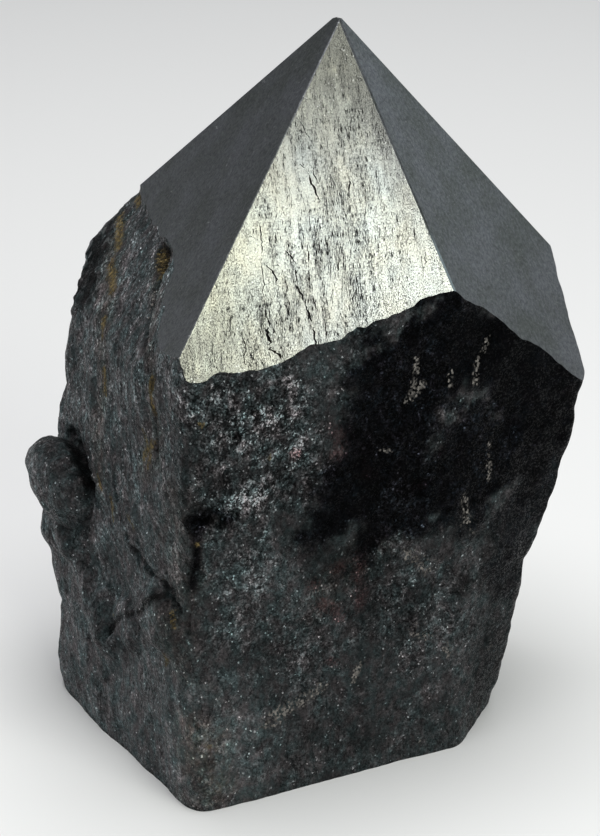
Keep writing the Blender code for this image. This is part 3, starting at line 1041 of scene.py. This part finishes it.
def painted_dimming(flat, up, across, below_top):
    """How much the front facet's silver is dimmed, a painted falloff of the light it reflects: more towards
    its top, its lower left and the ridge on its right, mottled.
    """
    mottled = clouds(flat, (0.6, 2.5, 1.0), 4.0, 0.7)
    from_right = below_top * FACET_RIGHT - across
    dull = up.ramp(47.0, 60.0, 0.44, 0.04) + up.ramp(63.0, 80.0, 0.0, 0.92)
    dull = dull + across.ramp(-22.0, -12.0, 0.42, 0.0) + across.ramp(1.0, 6.0, 0.0, 0.16)
    dull = dull + from_right.ramp(0.0, 2.6, 0.45, 0.0) * below_top.ramp(22.0, 28.0, 1.0, 0.0)
    return dull * mottled.ramp(0.3, 0.7, 0.6, 1.4)


def facet_metal(flat, front, up, across, below_top, others):
    """The facets' metal: silver on the front, painted brighter than the others' metal and dimmed as a painted
    falloff of its highlight, yellower from place to place, and the others'.
    """
    silver = blend(clouds(flat, (4.0, 7.0, 1.0), 4.0, 0.6).ramp(0.35, 0.65), YELLOW_SILVER, BLUE_SILVER)
    yellow = across.ramp(-20.0, -8.0, 1.0, 0.0).step("MAXIMUM", below_top.ramp(5.0, 16.0, 0.8, 0.0))
    metal = blend(front, others, silver)
    # painted highlight falloff: the front's silver dimmed
    metal = blend(painted_dimming(flat, up, across, below_top) * front, metal, PAINTED_DIM_METAL)
    return blend(yellow * front, metal, YELLOW_TINT, "MULTIPLY")


def ground_material():
    """The ground facets: metal, painted brighter on the front with a painted falloff of its highlight and
    smudged elsewhere, with pits, specks and a painted highlight on one ridge.
    """
    material, tree, shader = start_material("hematite_ground")
    flat = node(tree, "UVMap", {}, uv_map="facet")
    along, up, _ = flat.parts("SeparateXYZ")
    front = on_facet(along, FRONT_FACET)
    across = along - FRONT_FACET * FACET_SPACING
    below_top = up * -1.0 + FACET_TOP

    grained = clouds(flat, (0.45, 0.6, 1.0), 6.0, 0.75)
    smudges = clouds(flat, (7.0, 9.0, 1.0), 5.0, 0.68)
    plain = blend(grained.ramp(0.38, 0.62), DARK_METAL, LIGHT_METAL)
    smudged = plain.vector_step("MULTIPLY", blend(smudges.ramp(0.38, 0.62), DARK_SMUDGE, LIGHT_SMUDGE))
    metal = facet_metal(flat, front, up, across, below_top, smudged)
    # painted highlight on the lower part of the ridge right of the front facet
    metal = blend(on_facet(along, HIGHLIGHTED_RIDGE) * up.ramp(74.0, 77.0, 1.0, 0.0), metal, RIDGE_PAINTED_HIGHLIGHT)

    opened = facet_pits(flat, front, across, below_top)
    chance = grains(own_place(tree), SPECK).parts("SeparateColor")[0]
    chance = chance + front.ramp(0.0, 1.0, 1.0, 0.0) * smudges.ramp(0.46, 0.60, 0.006, 0.018)
    base = blend(opened, metal, INSIDE_PITS)
    fill(tree, shader, {
        "Base Color": blend(chance.ramp(0.986, 0.992, 0.0, 0.3), base, LIGHT_SPECK),
        "Metallic": 1.0,
        "Roughness": opened.ramp(0.0, 1.0, 0.3, 0.55),
        "Normal": bumped(opened, 0.00012, 0.6, {}, invert=True),
    })
    return material


def sawn_material():
    """The dull sawn base, with the saw's faint lines."""
    material, tree, shader = start_material("hematite_sawn")
    place = own_place(tree)
    lines = clouds(place, (25.0, 0.35, 1.0), 3.0, 0.6)
    cloudy = clouds(place, (6.0, 6.0, 6.0), 4.0, 0.6)
    level = lines.ramp(0.3, 0.7, 0.0, 0.5) + cloudy.ramp(0.3, 0.7, 0.0, 0.5)
    fill(tree, shader, {
        "Base Color": blend(level, grey(0.035), grey(0.085)),
        "Metallic": 0.4,
        "Roughness": 0.5,
        "Normal": bumped(lines, 0.0001, 0.5, {}),
    })
    return material


def cracked_material():
    """The dark inside of the front facet's cracks."""
    material, tree, shader = start_material("hematite_crack")
    rust = clouds(own_place(tree), (1.2, 1.2, 1.8), 3.0, 0.6)
    fill(tree, shader, {"Base Color": blend(rust.ramp(0.5, 0.65), grey(0.008), CRACK_RUST), "Roughness": 0.7})
    return material


def build_stone():
    """The whole stone, in place of its solid."""
    body = block()
    combine(body, lump(), "UNION")
    dress_mesh(body)
    combine(body, cracks(), "DIFFERENCE")
    mark_surface(body.data)
    to_frame(body.data)
    for material in (rough_material(), ground_material(), sawn_material(), cracked_material()):
        body.data.materials.append(material)
    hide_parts("hematite_stone")
    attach(body, "root")


def area_light(name, target, azimuth, elevation, distance, size, watts, tint):
    """A soft rectangular light that shines on a target, with its place and size in millimetres."""
    light = bpy.data.lights.new(name, "AREA")
    light.shape = "RECTANGLE"
    light.size, light.size_y = (MM * side for side in size)
    light.energy = watts
    light.color = tint
    obj = add_object(name, light)
    toward = direction(azimuth, elevation)
    obj.location = MM * (Vector(target) + distance * toward)
    obj.rotation_euler = toward.to_track_quat("Z", "Y").to_euler()


def build_stage():
    """The pale floor, the even light of the room and the soft lights."""
    corners = [(x * FLOOR_REACH, y * FLOOR_REACH, 0.0) for x, y in ((-1, -1), (1, -1), (1, 1), (-1, 1))]
    floor = add_mesh("floor", corners, [(0, 1, 2, 3)])
    material, tree, shader = start_material("pale_floor")
    fill(tree, shader, {"Base Color": grey(0.8), "Roughness": 0.9, "Specular IOR Level": 0.0})
    floor.data.materials.append(material)

    world = bpy.data.worlds.new("studio")
    world.use_nodes = True
    background = world.node_tree.nodes["Background"]
    fill(world.node_tree, background, {"Color": (0.9, 0.95, 1.0, 1.0), "Strength": 0.13})
    bpy.context.scene.world = world

    for name, settings in LIGHTS.items():
        area_light(name, *settings)
    bpy.context.scene.view_settings.view_transform = "Standard"


def build_camera():
    """The camera, fitted to the photograph."""
    camera = bpy.data.cameras.new("camera")
    camera.sensor_width = SENSOR
    camera.lens = SENSOR * FOCAL_PIXELS / PICTURE_HEIGHT
    camera.clip_start = 0.01
    obj = add_object("camera", camera)
    toward = direction(0.0, CAMERA_ELEVATION)
    obj.location = MM * (Vector(CAMERA_TARGET) + CAMERA_DISTANCE * toward)
    obj.rotation_euler = (math.radians(90.0 - CAMERA_ELEVATION), 0.0, 0.0)
    bpy.context.scene.camera = obj


build_camera()
build_stage()
build_stone()
